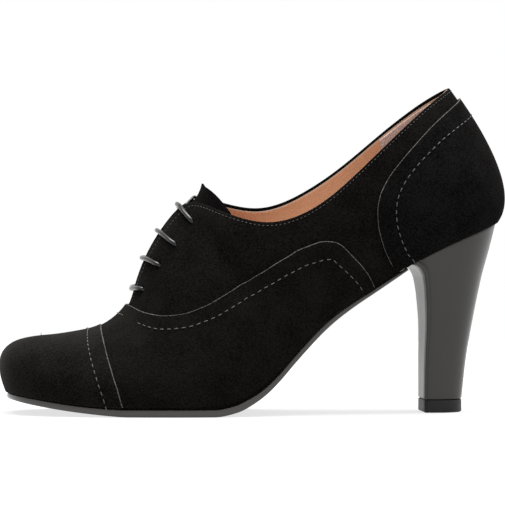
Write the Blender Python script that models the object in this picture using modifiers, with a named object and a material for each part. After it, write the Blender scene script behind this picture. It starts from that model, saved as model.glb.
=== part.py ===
"""A women's lace-up heel, left shoe, standing on its sole and heel.

Metres, +Z up. The origin is on the floor, under the middle of the shoe. The toe points along -X, the outer
side of the foot faces -Y and the inner side faces +Y.
"""

import math
from collections import namedtuple

import bmesh
import bpy
import numpy as np
from mathutils import Vector

# Driving sizes
LENGTH = 0.2205  # toe tip to the back of the heel, along the floor
BALL_WIDTH = 0.078  # across the feather line at the ball
HEEL_HEIGHT = 0.0840  # floor to the lower edge of the upper at the back
TOP_HEIGHT = 0.1430  # floor to the top of the collar at the back
TOE_SPRING = 0.0061  # how far the toe is lifted off the floor
SOLE_THICKNESS = 0.0032
WAIST_SOLE_THICKNESS = 0.0021
OVERLAY_FOOT = 0.02  # overlays start this share of the way up the sections
SOLE_EDGE = 0.0010  # how far the sole stands out past the feather line
INSOLE_THICKNESS = 0.0022
UPPER_WALL = 0.0018
OVERLAY_WALL = 0.0010
TOE_CAP_WALL = 0.0015
TONGUE_WALL = 0.0016
TONGUE_FOOT_WIDTH = 0.026
TONGUE_TOP_WIDTH = 0.050
TONGUE_RISE = 0.0112  # how far the middle of the tongue stands above the top of the facings
TONGUE_SPREAD = 0.25  # its top edge rises by this share of the way from the middle to its sides
TONGUE_BULGE = 0.0013  # how far each half of its top edge is rounded out
TONGUE_SLOPE = 78  # degrees from the floor that it bends up to, above the facings
LACE_DIAMETER = 0.0020
LIFT_HEIGHT = 0.0056  # the wear lift under the heel
HEEL_BREAST = 0.799  # where the sole ends at the front of the heel, as a share of LENGTH from the toe
HEEL_SLANT = 0.040  # how much nearer the toe the heel's front lies on the inner side, for each unit of width
EDGE_ROUNDING = 0.0006  # lower edges of the sole and of the lift
CLEARANCE = 0.0003  # between pieces that lie on each other

# The two sides are joined over the ridge up to THROAT, and then part as facings up to FACING_TOP.
# Both are section numbers, counted from 0 in the table of sections.
THROAT = 5
FACING_TOP = 9

Section = namedtuple(
    "Section", "foot outer inner crest height inner_up opening turn rise rise_inner lift fall drop"
)
# One row for each section of the last, from the toe round the side to the middle of the back.
# foot and crest: lower and upper end of the section, as shares of LENGTH from the toe tip
# outer and inner: half widths of the feather line, as shares of BALL_WIDTH
# height: upper end, as a share of TOP_HEIGHT, and inner_up: how much higher it is on the inner side
# opening: half of the gap between the two sides at the upper end, as a share of BALL_WIDTH
# turn: the way that the section faces, in degrees from the toe round to the heel
# rise, lift: angle and pull of the wall as it leaves the feather line, and rise_inner on the inner side
# fall, drop: angle and pull of the wall as it arrives at its upper end
SECTIONS = [
    Section(0.012, -0.038, 0.038, 0.076, 0.226, 0.000, 0.000, 0, 67, 67, 0.70, 4, 0.55),
    Section(0.030, 0.190, 0.262, 0.088, 0.228, 0.000, 0.000, 40, 68, 68, 0.56, 2, 0.52),
    Section(0.085, 0.330, 0.385, 0.114, 0.232, 0.000, 0.000, 68, 70, 70, 0.46, 1, 0.52),
    Section(0.160, 0.420, 0.450, 0.153, 0.242, 0.000, 0.000, 82, 72, 72, 0.40, 0, 0.50),
    Section(0.240, 0.468, 0.480, 0.200, 0.265, 0.000, 0.000, 90, 74, 74, 0.40, 1, 0.47),
    Section(0.320, 0.494, 0.474, 0.245, 0.324, 0.000, 0.000, 90, 76, 76, 0.38, 5, 0.42),
    Section(0.370, 0.500, 0.450, 0.263, 0.396, 0.000, 0.026, 90, 78, 74, 0.38, 12, 0.36),
    Section(0.420, 0.492, 0.404, 0.289, 0.498, 0.000, 0.040, 90, 80, 70, 0.38, 16, 0.32),
    Section(0.470, 0.460, 0.335, 0.330, 0.596, 0.000, 0.055, 90, 82, 64, 0.38, 20, 0.30),
    Section(0.520, 0.415, 0.262, 0.370, 0.650, 0.000, 0.085, 90, 82, 58, 0.38, 28, 0.28),
    Section(0.565, 0.376, 0.218, 0.424, 0.629, 0.022, 0.270, 90, 80, 55, 0.36, 52, 0.26),
    Section(0.625, 0.335, 0.200, 0.518, 0.592, 0.032, 0.362, 90, 78, 56, 0.36, 76, 0.30),
    Section(0.690, 0.315, 0.220, 0.614, 0.639, 0.037, 0.375, 90, 76, 60, 0.36, 84, 0.32),
    Section(0.765, 0.320, 0.272, 0.694, 0.737, 0.025, 0.352, 90, 74, 66, 0.36, 82, 0.32),
    Section(0.840, 0.333, 0.318, 0.774, 0.853, 0.014, 0.305, 94, 72, 70, 0.36, 76, 0.32),
    Section(0.925, 0.300, 0.300, 0.850, 0.954, 0.005, 0.190, 128, 70, 70, 0.34, 60, 0.36),
    Section(0.983, 0.000, 0.000, 0.893, 1.000, 0.000, 0.000, 180, 48, 48, 0.27, 53, 0.34),
]
LAST_SECTION = len(SECTIONS) - 1

# Lower edge of the upper along the shoe: share of LENGTH, share of HEEL_HEIGHT above the tread
FEATHER_RISE = [
    (0.00, 0.0), (0.410, 0.0), (0.451, 0.021), (0.479, 0.055), (0.507, 0.103), (0.536, 0.174),
    (0.565, 0.262), (0.598, 0.360), (0.623, 0.430), (0.650, 0.494), (0.676, 0.546), (0.701, 0.591),
    (0.726, 0.633), (0.770, 0.710), (0.807, 0.777), (0.850, 0.840), (0.886, 0.888), (0.984, 1.0),
    (1.0, 1.020),
]
# Toe spring along the shoe: share of LENGTH, share of TOE_SPRING
SPRING = [(0.0, 1.0), (0.055, 0.70), (0.103, 0.43), (0.150, 0.22), (0.200, 0.07), (0.240, 0.0), (1.0, 0.0)]
# Middle line of the foot: share of LENGTH, share of BALL_WIDTH towards the inner side
RIDGE = [(0.0, 0.045), (0.2, 0.045), (0.35, 0.02), (0.6, 0.0), (1.0, 0.0)]
# Sole thickness along the shoe: share of LENGTH, 0 for the waist's and 1 for the tread's.
# Below 0 the sole is skived towards the heel.
SOLE_TAPER = [
    (0.0, 0.1), (0.06, 0.6), (0.15, 0.7), (0.24, 1.0), (0.44, 1.0),
    (0.56, 0.0), (0.62, 0.0), (0.80, -1.0), (1.0, -1.0),
]

HeelRing = namedtuple("HeelRing", "up front back half_width")
# Rings of the heel from the wear lift to the seat. up: share of the way from lift to seat.
# front and back: shares of LENGTH from the toe tip. half_width: share of BALL_WIDTH.
HEEL_RINGS = [
    HeelRing(0.00, 0.8370, 0.9172, 0.144),
    HeelRing(0.25, 0.8375, 0.9262, 0.160),
    HeelRing(0.50, 0.8390, 0.9410, 0.190),
    HeelRing(0.72, 0.8360, 0.9572, 0.232),
    HeelRing(0.85, 0.8314, 0.9705, 0.268),
    HeelRing(0.93, 0.8225, 0.9783, 0.296),
    HeelRing(0.98, 0.8105, 0.9830, 0.316),
    HeelRing(1.00, 0.8045, 0.9850, 0.326),
]

# Places on the last: section number, and share of the way up the section
CAP_EDGE = [(3.86, 0.0), (3.76, 0.14), (3.69, 0.28), (3.67, 0.42), (3.70, 0.57), (3.78, 0.76), (3.93, 1.0)]
VAMP_TOP = [
    (5.05, 1.0), (5.18, 0.92), (5.50, 0.74), (5.92, 0.628), (6.32, 0.554), (7.10, 0.474), (8.00, 0.440),
    (8.66, 0.433), (9.40, 0.452), (10.22, 0.521), (11.02, 0.638), (11.45, 0.684), (11.80, 0.672),
]
VAMP_BACK = [(12.04, 0.621), (12.19, 0.547), (12.30, 0.385), (12.44, 0.186), (12.57, 0.0)]
COUNTER_EDGE = [
    (13.22, 0.0), (13.04, 0.137), (13.0, 0.27), (13.05, 0.418), (13.24, 0.591), (13.42, 0.674),
    (13.69, 0.734), (14.0, 0.773), (14.39, 0.816), (14.80, 0.856), (15.20, 0.88), (16.0, 0.905),
]

LaceBar = namedtuple("LaceBar", "section up lean")
# One row for each bar of the lace: its eyelets, and how many sections nearer the toe it crosses the throat
LACE_BARS = [
    LaceBar(6.18, 0.836, 0.36),
    LaceBar(7.09, 0.800, 0.31),
    LaceBar(7.83, 0.798, 0.26),
    LaceBar(8.77, 0.835, 0.20),
]


def smooth(table, at):
    """A table of (place, value) read anywhere, with no overshoot: flat stretches stay flat."""
    xs, ys = np.array(table, float).T
    steps, slopes = np.diff(xs), np.diff(ys) / np.diff(xs)
    rising = slopes[:-1] * slopes[1:] > 0
    inner = np.where(rising, 2 * slopes[:-1] * slopes[1:] / np.where(rising, slopes[:-1] + slopes[1:], 1), 0)
    tangents = np.concatenate([[slopes[0]], inner, [slopes[-1]]])
    at = np.clip(at, xs[0], xs[-1])
    i = np.clip(np.searchsorted(xs, at, side="right") - 1, 0, len(steps) - 1)
    u = (at - xs[i]) / steps[i]
    return (
        (2 * u**3 - 3 * u**2 + 1) * ys[i]
        + (u**3 - 2 * u**2 + u) * steps[i] * tangents[i]
        + (3 * u**2 - 2 * u**3) * ys[i + 1]
        + (u**3 - u**2) * steps[i] * tangents[i + 1]
    )


def along(share):
    """X of a place given as a share of the length from the toe tip."""
    return (np.asarray(share, float) - 0.5) * LENGTH


def share_of(x):
    return np.asarray(x, float) / LENGTH + 0.5


def feather_z(x):
    """Height of the upper's lower edge, which is the top of the sole."""
    share = share_of(x)
    tread = SOLE_THICKNESS + CLEARANCE
    rise = smooth(FEATHER_RISE, share) * (HEEL_HEIGHT - tread)
    return tread + rise + smooth(SPRING, share) * TOE_SPRING


def ridge_y(x):
    return smooth(RIDGE, share_of(x)) * BALL_WIDTH


def section_points(section, side):
    """Four control points of one section of the last, from the feather line to its upper end."""
    width = section.outer if side < 0 else section.inner
    foot = np.array([along(section.foot), side * width * BALL_WIDTH, 0.0])
    foot[2] = feather_z(foot[0])
    crest_x = along(section.crest)
    opening = side * section.opening * BALL_WIDTH
    height = section.height + (section.inner_up if side > 0 else 0)
    crest = np.array([crest_x, ridge_y(crest_x) + opening, height * TOP_HEIGHT])
    turn = math.radians(section.turn)
    outward = np.array([-math.cos(turn), side * math.sin(turn), 0.0])
    up = np.array([0.0, 0.0, 1.0])
    chord = np.linalg.norm(crest - foot)
    rise = math.radians(section.rise if side < 0 else section.rise_inner)
    fall = math.radians(section.fall)
    low = foot + section.lift * chord * (math.cos(rise) * outward + math.sin(rise) * up)
    high = crest + section.drop * chord * (math.cos(fall) * outward - math.sin(fall) * up)
    return np.array([foot, low, high, crest])


def closed_spline_tangents(points):
    """Tangents of the smooth closed curve through points, for each of their control points."""
    count = len(points)
    matrix = 4 * np.eye(count) + np.roll(np.eye(count), 1, 0) + np.roll(np.eye(count), -1, 0)
    ahead, behind = np.roll(points, -1, 0), np.roll(points, 1, 0)
    return np.linalg.solve(matrix, 3 * (ahead - behind).reshape(count, -1)).reshape(points.shape)


# The ring runs along the outer side to the back, then along the inner side to the toe again.
RING = np.array(
    [section_points(s, -1) for s in SECTIONS] + [section_points(s, 1) for s in SECTIONS[-2:0:-1]]
)
RING_TANGENTS = closed_spline_tangents(RING)
OPENINGS = [(i, s.opening) for i, s in enumerate(SECTIONS)]


def last_surface(section, up, side):
    """The bare last. section: place along it, up: 0 at the feather line to 1 at the upper end."""
    section, up = np.broadcast_arrays(np.asarray(section, float), np.asarray(up, float))
    place = np.where(side < 0, section, 2 * LAST_SECTION - section) % len(RING)
    i = np.floor(place).astype(int) % len(RING)
    u = (place - np.floor(place))[..., None, None]
    j = (i + 1) % len(RING)
    controls = (
        (2 * u**3 - 3 * u**2 + 1) * RING[i]
        + (u**3 - 2 * u**2 + u) * RING_TANGENTS[i]
        + (3 * u**2 - 2 * u**3) * RING[j]
        + (u**3 - u**2) * RING_TANGENTS[j]
    )
    controls[..., 0, 2] = feather_z(controls[..., 0, 0])
    edge = ridge_y(controls[..., 3, 0]) + side * smooth(OPENINGS, section) * BALL_WIDTH
    controls[..., 3, 1] = np.where(section < FACING_TOP, edge, controls[..., 3, 1])
    t = up[..., None]
    weights = [(1 - t) ** 3, 3 * t * (1 - t) ** 2, 3 * t**2 * (1 - t), t**3]
    return sum(w * controls[..., k, :] for k, w in enumerate(weights))


def last_normal(section, up, side):
    """The way out of the last, square to its surface. On the joined ridge it leans to neither side."""
    step = 0.02
    section, up = np.broadcast_arrays(np.asarray(section, float), np.asarray(up, float))
    climb = last_surface(section, np.minimum(up + step, 1), side)
    climb = climb - last_surface(section, np.maximum(up - step, 0), side)
    ahead = last_surface(section + step, up, side) - last_surface(section - step, up, side)
    ridge = last_surface(section + step, 1, side) - last_surface(np.maximum(section - step, 0), 1, side)
    joined = ((up > 0.999) & (section <= THROAT))[..., None]
    climb = np.where(joined, [0, -side, 0], climb)
    ahead = np.where(joined, ridge, ahead)
    normal = np.cross(ahead, climb) * (-side)
    return normal / np.linalg.norm(normal, axis=-1, keepdims=True)


def shoe_point(section, up, side, out=0.0):
    """A point at the given distance outside the last, or inside it where out is negative."""
    return last_surface(section, up, side) + out * last_normal(section, up, side)


def make_material(name, colour, roughness, metallic=0.0):
    material = bpy.data.materials.new(name)
    material.use_nodes = True
    shader = material.node_tree.nodes["Principled BSDF"]
    shader.inputs["Base Color"].default_value = (*colour, 1)
    shader.inputs["Roughness"].default_value = roughness
    shader.inputs["Metallic"].default_value = metallic
    return material


def add_object(name, data, material):
    data.materials.append(material)
    obj = bpy.data.objects.new(name, data)
    SHOE.objects.link(obj)
    return obj


def grid_mesh(name, grids):
    """One open surface from grids of points, whose shared edges are merged. Faces point off the last."""
    mesh = bpy.data.meshes.new(name)
    shape = bmesh.new()
    for grid in grids:
        rows, columns = grid.shape[:2]
        verts = [[shape.verts.new(p) for p in row] for row in grid]
        for r in range(rows - 1):
            for c in range(columns - 1):
                shape.faces.new((verts[r][c], verts[r][c + 1], verts[r + 1][c + 1], verts[r + 1][c]))
    bmesh.ops.remove_doubles(shape, verts=shape.verts, dist=2e-5)
    bmesh.ops.dissolve_degenerate(shape, edges=shape.edges, dist=1e-5)
    bmesh.ops.recalc_face_normals(shape, faces=shape.faces)
    shape.normal_update()
    middle = Vector(np.concatenate([grid.reshape(-1, 3) for grid in grids]).mean(axis=0))
    if sum((f.calc_center_median() - middle).dot(f.normal) * f.calc_area() for f in shape.faces) < 0:
        bmesh.ops.reverse_faces(shape, faces=shape.faces)
    shape.to_mesh(mesh)
    shape.free()
    return mesh


def add_wall(obj, thickness, outwards):
    """Gives an open surface its wall, on the side that its faces point to or on the other."""
    solidify = obj.modifiers.new("wall", "SOLIDIFY")
    solidify.thickness = thickness
    solidify.offset = 1 if outwards else -1
    solidify.use_even_offset = True
    solidify.use_quality_normals = True


def loft(name, rings):
    """A closed body through rings of points. Each end is closed by strips between its two halves."""
    mesh = bpy.data.meshes.new(name)
    shape = bmesh.new()
    verts = [[shape.verts.new(p) for p in ring] for ring in rings]
    count = len(verts[0])
    for low, high in zip(verts, verts[1:]):
        for i in range(count):
            j = (i + 1) % count
            shape.faces.new((low[i], low[j], high[j], high[i]))
    for ring in (verts[0], verts[-1]):
        for i in range(count // 2 - 1):
            shape.faces.new((ring[i], ring[i + 1], ring[count - 2 - i], ring[count - 1 - i]))
    bmesh.ops.remove_doubles(shape, verts=shape.verts, dist=1e-5)
    bmesh.ops.dissolve_degenerate(shape, edges=shape.edges, dist=1e-5)
    bmesh.ops.recalc_face_normals(shape, faces=shape.faces)
    shape.to_mesh(mesh)
    shape.free()
    return mesh


def side_view(places):
    """X and Z of places (section, up) on the outer side."""
    sections, ups = np.array(places, float).T
    return last_surface(sections, ups, -1)[:, [0, 2]]


def smooth_line(points, count):
    """A smooth line through points, with count points on each stretch."""
    at = np.linspace(0, len(points) - 1, count * (len(points) - 1) + 1)
    return np.column_stack([smooth(list(enumerate(column)), at) for column in np.array(points).T])


def overlay(name, sections, outline, wall, material):
    """Leather over the upper on both sides: a shell over the last, cut to an outline seen from the side."""
    grid = np.meshgrid(sections, np.append(OVERLAY_FOOT, UP_STEPS[1:]), indexing="ij")
    sheets = [shoe_point(*grid, side, CLEARANCE) for side in (-1, 1)]
    obj = add_object(name, grid_mesh(name, sheets), material)
    add_wall(obj, wall, outwards=True)
    half = [(x, z) for x, z in outline]
    mesh = bpy.data.meshes.new(name + "_outline")
    shape = bmesh.new()
    flanks = [[shape.verts.new((x, y, z)) for x, z in half] for y in (-BALL_WIDTH, BALL_WIDTH)]
    for flank in flanks:
        shape.faces.new(flank)
    for i in range(len(half)):
        shape.faces.new((flanks[0][i - 1], flanks[0][i], flanks[1][i], flanks[1][i - 1]))
    bmesh.ops.recalc_face_normals(shape, faces=shape.faces)
    shape.to_mesh(mesh)
    shape.free()
    cutter = bpy.data.objects.new(name + "_outline", mesh)
    cutter.hide_render = True
    cutter.display_type = "WIRE"
    CUTTERS.objects.link(cutter)
    cut = obj.modifiers.new("outline", "BOOLEAN")
    cut.operation = "INTERSECT"
    cut.solver = "EXACT"
    cut.object = cutter


def down_from_facing(section, side, distances, out):
    """Points at distances down from the edge of a facing, at out from the last."""
    ups = np.linspace(1, 0.2, 81)
    line = shoe_point(section, ups, side, out)
    run = np.concatenate([[0], np.cumsum(np.linalg.norm(np.diff(line, axis=0), axis=1))])
    return np.column_stack([np.interp(distances, run, line[:, k]) for k in range(3)])


def throat_arch(section, half_width, out):
    """A line over the throat from side to side, and how far each of its points is from the middle."""
    flank = np.linspace(half_width, 0, 6)
    near, far = [down_from_facing(section, side, flank, out) for side in (-1, 1)]
    lean = last_normal(section, 1.0, -1)
    rise = 0.25 * np.linalg.norm(near[-1] - far[-1]) * abs(lean[1]) / math.hypot(lean[0], lean[2])
    upward = np.array([lean[0], 0, lean[2]]) / math.hypot(lean[0], lean[2])
    shares = np.array([0.25, 0.5, 0.75])
    bridge = near[-1] + shares[:, None] * (far[-1] - near[-1])
    bridge = bridge + rise * 4 * (shares * (1 - shares))[:, None] * upward
    return np.concatenate([near, bridge, far[::-1]]), np.concatenate([flank, [0, 0, 0], flank[::-1]])


def plan_edge(section, side, grow):
    """The feather line seen from above, moved outwards by grow, at its own height."""
    here = last_surface(section, 0, side)
    run = last_surface(section + 0.01, 0, side) - last_surface(section - 0.01, 0, side)
    outward = np.array([run[1], -run[0]]) * -side
    here[:2] += grow * outward / np.linalg.norm(outward)
    here[2] = feather_z(here[0])
    return here


def below(point, depth):
    """A point moved down, square to the slope of the sole."""
    step = 0.0005
    slope = (feather_z(point[0] + step) - feather_z(point[0] - step)) / (2 * step)
    return point + depth * np.array([slope, 0, -1]) / math.hypot(slope, 1)


def plate(name, sections, grow, top, thickness, rounding, material):
    """A flat piece that follows the bottom of the last. thickness: a function of x."""
    rings = []
    for section in sections:
        edges = [plan_edge(section, side, grow) for side in (-1, 1)]
        inner = [plan_edge(section, side, grow - rounding) for side in (-1, 1)]
        wall = [thickness(p[0]) for p in edges]
        ring = [below(edges[0], -top), below(edges[0], wall[0] - top - rounding)]
        ring += [below(inner[0], wall[0] - top), below(inner[1], wall[1] - top)]
        ring += [below(edges[1], wall[1] - top - rounding), below(edges[1], -top)]
        rings.append(ring)
    return add_object(name, loft(name, rings), material)


def sole_thickness(x):
    return WAIST_SOLE_THICKNESS + smooth(SOLE_TAPER, share_of(x)) * (SOLE_THICKNESS - WAIST_SOLE_THICKNESS)


def heel_ring(row, height, shrink=0.0):
    """A ring of the heel: flat in front, round at the back. height: a function of x."""
    front, back = along(row.front) + shrink, along(row.back) - shrink
    width = row.half_width * BALL_WIDTH - shrink
    corner = 0.06 * (back - front)
    reach = 0.62 * (back - front)
    flank = [(front, width - corner), (front + corner, width), (0.5 * (front + corner + back - reach), width)]
    turns = np.linspace(0, math.pi / 2, HEEL_TURN_STEPS)[:-1]
    curve = [(back - reach + reach * math.sin(a), width * math.cos(a)) for a in turns]
    half = flank + curve
    middle = [(back, 0.12 * width)]
    points = [(x, -y) for x, y in half + middle] + [(x, y) for x, y in (half + middle)[::-1]]
    slanted = [(x - HEEL_SLANT * y * (back - x) / (back - front), y) for x, y in points]
    return [(x, y, height(x)) for x, y in slanted]


# Everything in the file goes first, then the shoe gets its own collection
for old in list(bpy.data.objects):
    bpy.data.objects.remove(old)
SHOE = bpy.data.collections.new("lace_up_heel")
CUTTERS = bpy.data.collections.new("cutters")
for collection in (SHOE, CUTTERS):
    bpy.context.scene.collection.children.link(collection)

step_runs = [(0, 2, 9), (2, 14, 23), (14, 15, 5), (15, 16, 9)]
SECTION_STEPS = np.unique(np.concatenate([np.linspace(*run) for run in step_runs]))
UP_STEPS = np.linspace(0, 1, 12)
HEEL_TURN_STEPS = 9

# Upper: quarters and lining as one wall, open along the facings and the collar and underneath
upper_grid = np.meshgrid(SECTION_STEPS, UP_STEPS, indexing="ij")
upper = add_object(
    "upper",
    grid_mesh("upper", [last_surface(*upper_grid, side) for side in (-1, 1)]),
    make_material("black suede quarters", (0.012, 0.011, 0.011), 0.95),
)
add_wall(upper, UPPER_WALL, outwards=False)

# Seam across the toes, from under the sole to above the ridge
down, up = np.array([0.0, -0.008]), np.array([0.0, 0.020])
cap_edge = smooth_line(side_view(CAP_EDGE), 2)
cap_edge = np.concatenate([[cap_edge[0] + down], cap_edge, [cap_edge[-1] + up]])
before_toe = np.array([along(0) - 0.010, 0.0])
overlay(
    "toe_cap",
    SECTION_STEPS[SECTION_STEPS < THROAT],
    [*cap_edge, (before_toe[0], cap_edge[-1][1]), (before_toe[0], cap_edge[0][1])],
    TOE_CAP_WALL,
    make_material("black suede toe cap", (0.016, 0.015, 0.015), 0.95),
)

# Vamp: from the toe cap back to the swan neck seam, which rises along the waist and falls to the sole
butt = np.array([CLEARANCE, 0.0])
swan = smooth_line(side_view(VAMP_TOP + VAMP_BACK), 3)
under = side_view([(section, 0.0) for section in np.linspace(12, 4.2, 9)]) + down
overlay(
    "vamp",
    SECTION_STEPS[(SECTION_STEPS > 3) & (SECTION_STEPS < 13.2)],
    [*(cap_edge + butt), swan[0] + up, *swan, swan[-1] + down, *under],
    OVERLAY_WALL,
    make_material("black suede vamp", (0.012, 0.011, 0.011), 0.95),
)

# Counter: round the back of the heel, under the collar
counter_line = smooth_line(side_view(COUNTER_EDGE), 3)
behind = np.array([0.012, 0.0])
low_back = side_view([(LAST_SECTION, 0.0)])[0] + behind + down
overlay(
    "counter",
    SECTION_STEPS[SECTION_STEPS > 12.5],
    [counter_line[0] + down, *counter_line, counter_line[-1] + behind, low_back],
    OVERLAY_WALL,
    make_material("black suede counter", (0.012, 0.011, 0.011), 0.95),
)

# Outsole: from the toe to the front of the heel
all_steps = np.linspace(0, LAST_SECTION, 1601)
foot_x = last_surface(all_steps, np.zeros(1601), -1)[:, 0]
sole_end = np.interp(along(HEEL_BREAST) - CLEARANCE, foot_x, all_steps)
plate(
    "outsole",
    np.append(SECTION_STEPS[SECTION_STEPS < sole_end - 0.2], sole_end),
    SOLE_EDGE,
    -CLEARANCE,
    sole_thickness,
    EDGE_ROUNDING,
    make_material("dark leather sole", (0.05, 0.048, 0.046), 0.45),
)

# Insole: board and sock inside the wall of the upper
plate(
    "insole",
    SECTION_STEPS,
    -UPPER_WALL - 2 * CLEARANCE,
    INSOLE_THICKNESS,
    lambda x: INSOLE_THICKNESS,
    0.0,
    make_material("peach leather sock", (0.62, 0.33, 0.20), 0.6),
)

# Heel, from the wear lift to the slanting seat
lift_top = LIFT_HEIGHT + CLEARANCE


def heel_height(up):
    return lambda x: lift_top + up * (feather_z(x) - CLEARANCE - lift_top)


add_object(
    "heel",
    loft("heel", [heel_ring(row, heel_height(row.up)) for row in HEEL_RINGS]),
    make_material("glossy black heel", (0.03, 0.03, 0.032), 0.12),
)
lift_levels = [(0.0, EDGE_ROUNDING), (EDGE_ROUNDING, 0.0), (LIFT_HEIGHT, 0.0)]
add_object(
    "top_piece",
    loft("top_piece", [heel_ring(HEEL_RINGS[0], lambda x, z=z: z, shrink) for z, shrink in lift_levels]),
    make_material("black rubber lift", (0.025, 0.025, 0.026), 0.35),
)

# Tongue: under the facings, and standing out past their top
tongue_out = -UPPER_WALL - 3 * CLEARANCE
tongue_sections = np.linspace(THROAT + 0.55, FACING_TOP - 0.05, 10)
tongue_rows = []
for section in tongue_sections:
    share = (section - tongue_sections[0]) / (tongue_sections[-1] - tongue_sections[0])
    width = TONGUE_FOOT_WIDTH + share * (TONGUE_TOP_WIDTH - TONGUE_FOOT_WIDTH)
    row, from_middle = throat_arch(section, width / 2, tongue_out)
    tongue_rows.append(row)
onward = tongue_rows[-1][7] - tongue_rows[-2][7]
onward = onward / np.linalg.norm(onward)
steep = np.array([math.cos(math.radians(TONGUE_SLOPE)), 0, math.sin(math.radians(TONGUE_SLOPE))])
bulge = TONGUE_BULGE * np.sin(2 * math.pi * from_middle / TONGUE_TOP_WIDTH)
reach = TONGUE_RISE + TONGUE_SPREAD * from_middle + bulge
for share in (0.25, 0.5, 0.75, 1.0):
    bend = share * (1 - share / 2) * onward + share**2 / 2 * steep
    tongue_rows.append(tongue_rows[len(tongue_sections) - 1] + reach[:, None] * bend)
tongue = add_object(
    "tongue",
    grid_mesh("tongue", [np.array(tongue_rows)]),
    make_material("black suede tongue", (0.012, 0.011, 0.011), 0.95),
)
add_wall(tongue, TONGUE_WALL, outwards=False)

# Lace: a bar over the throat between each pair of eyelets
lace_material = make_material("waxed black cord", (0.03, 0.03, 0.032), 0.4)
lace_radius = LACE_DIAMETER / 2
for number, bar in enumerate(LACE_BARS, 1):
    lane = 1.5 * CLEARANCE + lace_radius
    crossing = bar.section - bar.lean
    ups = np.linspace(bar.up, 1, 5)
    line = []
    for side in (-1, 1):
        sections = bar.section - bar.lean * (ups - bar.up) / (1 - bar.up)
        climb = shoe_point(sections, ups, side, lane)
        bend = np.radians([0, 30, 60])
        out = CLEARANCE + (lane - CLEARANCE) * np.sin(bend)[:, None]
        hole = shoe_point(bar.section, bar.up - 0.016 * np.cos(bend), side, out)
        line.append(np.concatenate([hole, climb]))
    span = line[1][-1] - line[0][-1]
    lean = last_normal(crossing, 1.0, -1)
    rise = 0.25 * np.linalg.norm(span) * abs(lean[1]) / math.hypot(lean[0], lean[2])
    middle = line[0][-1] + span / 2 + rise * np.array([lean[0], 0, lean[2]])
    cord = bpy.data.curves.new(f"lace_{number}", "CURVE")
    cord.dimensions = "3D"
    cord.bevel_depth = lace_radius
    cord.bevel_resolution = 1
    cord.use_fill_caps = True
    points = [*line[0], middle, *line[1][::-1]]
    spline = cord.splines.new("POLY")
    spline.points.add(len(points) - 1)
    for knot, point in zip(spline.points, points):
        knot.co = (*point, 1)
    add_object(f"lace_{number}", cord, lace_material)
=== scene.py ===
"""The looks of a women's lace-up heel in black suede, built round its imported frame.

Metres, +Z up. The toe points along -X, the outer side of the foot faces -Y and the inner side faces +Y.
"""

import math
from collections import namedtuple

import bmesh
import bpy
import numpy as np
from mathutils import Matrix, Vector


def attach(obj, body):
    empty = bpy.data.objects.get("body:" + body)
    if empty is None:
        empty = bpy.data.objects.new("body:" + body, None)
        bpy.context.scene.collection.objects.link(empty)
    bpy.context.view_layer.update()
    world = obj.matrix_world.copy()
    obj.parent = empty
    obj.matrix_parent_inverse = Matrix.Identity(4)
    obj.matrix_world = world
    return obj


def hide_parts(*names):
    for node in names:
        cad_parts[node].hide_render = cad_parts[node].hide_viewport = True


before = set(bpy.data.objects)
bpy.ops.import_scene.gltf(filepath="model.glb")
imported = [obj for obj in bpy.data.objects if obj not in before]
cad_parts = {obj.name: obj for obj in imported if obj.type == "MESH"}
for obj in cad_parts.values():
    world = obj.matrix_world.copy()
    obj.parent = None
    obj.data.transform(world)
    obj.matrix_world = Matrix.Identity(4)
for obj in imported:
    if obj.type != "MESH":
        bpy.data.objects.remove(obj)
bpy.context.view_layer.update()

# Camera: a long lens at the outer side, a little above the shoe and a little nearer its toe.
# The photograph shows hardly any perspective, so the camera stands well back.
CAMERA_DISTANCE = 3.0
CAMERA_ELEVATION = math.radians(2.0)
CAMERA_TURN = math.radians(-4.0)
VIEW_WIDTH = 0.2235  # what the photograph's width takes in at the shoe
SENSOR = 36.0  # width of the picture in the camera, in millimetres
AIM = Vector((-0.0006, 0.0, 0.0704))


def new_object(name, data):
    """An object in the scene, made from a mesh, a lens or a light."""
    thing = bpy.data.objects.new(name, data)
    bpy.context.scene.collection.objects.link(thing)
    return thing


level = math.cos(CAMERA_ELEVATION)
back = Vector((level * math.sin(CAMERA_TURN), -level * math.cos(CAMERA_TURN), math.sin(CAMERA_ELEVATION)))
lens = bpy.data.cameras.new("camera")
lens.sensor_width = SENSOR
lens.lens = SENSOR * CAMERA_DISTANCE / VIEW_WIDTH
camera = new_object("camera", lens)
turned = back.to_track_quat("Z", "Y").to_matrix().to_4x4()
camera.matrix_world = Matrix.Translation(AIM + CAMERA_DISTANCE * back) @ turned
bpy.context.scene.camera = camera


# Floor and light: a table top of milk glass lit from below, under one wide light that hangs over the shoe, as
# in a catalogue picture. The table stays white with a faint shadow, and the suede's sides stay dark.
def linear(hex_code):
    """An sRGB hex colour as linear red, green, blue and alpha."""
    parts = [int(hex_code[i : i + 2], 16) / 255 for i in (1, 3, 5)]
    return (*(c / 12.92 if c <= 0.04045 else ((c + 0.055) / 1.055) ** 2.4 for c in parts), 1.0)


def add_node(tree, kind, inputs=(), **settings):
    """Adds a node with its settings, and fills its inputs with values or with other nodes' outputs."""
    node = tree.nodes.new("ShaderNode" + kind)
    for name, value in settings.items():
        setattr(node, name, value)
    for name, value in dict(inputs).items():
        if isinstance(value, bpy.types.NodeSocket):
            tree.links.new(value, node.inputs[name])
        else:
            node.inputs[name].default_value = value
    return node


def new_material(name, hex_code, **values):
    """A Principled material of one colour, with further values by the names of their sockets."""
    material = bpy.data.materials.new(name)
    material.use_nodes = True
    sockets = material.node_tree.nodes["Principled BSDF"].inputs
    sockets["Base Color"].default_value = linear(hex_code)
    for socket, value in values.items():
        sockets[socket.replace("_", " ")].default_value = value
    return material


FLOOR_SIZE = 1.3
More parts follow.
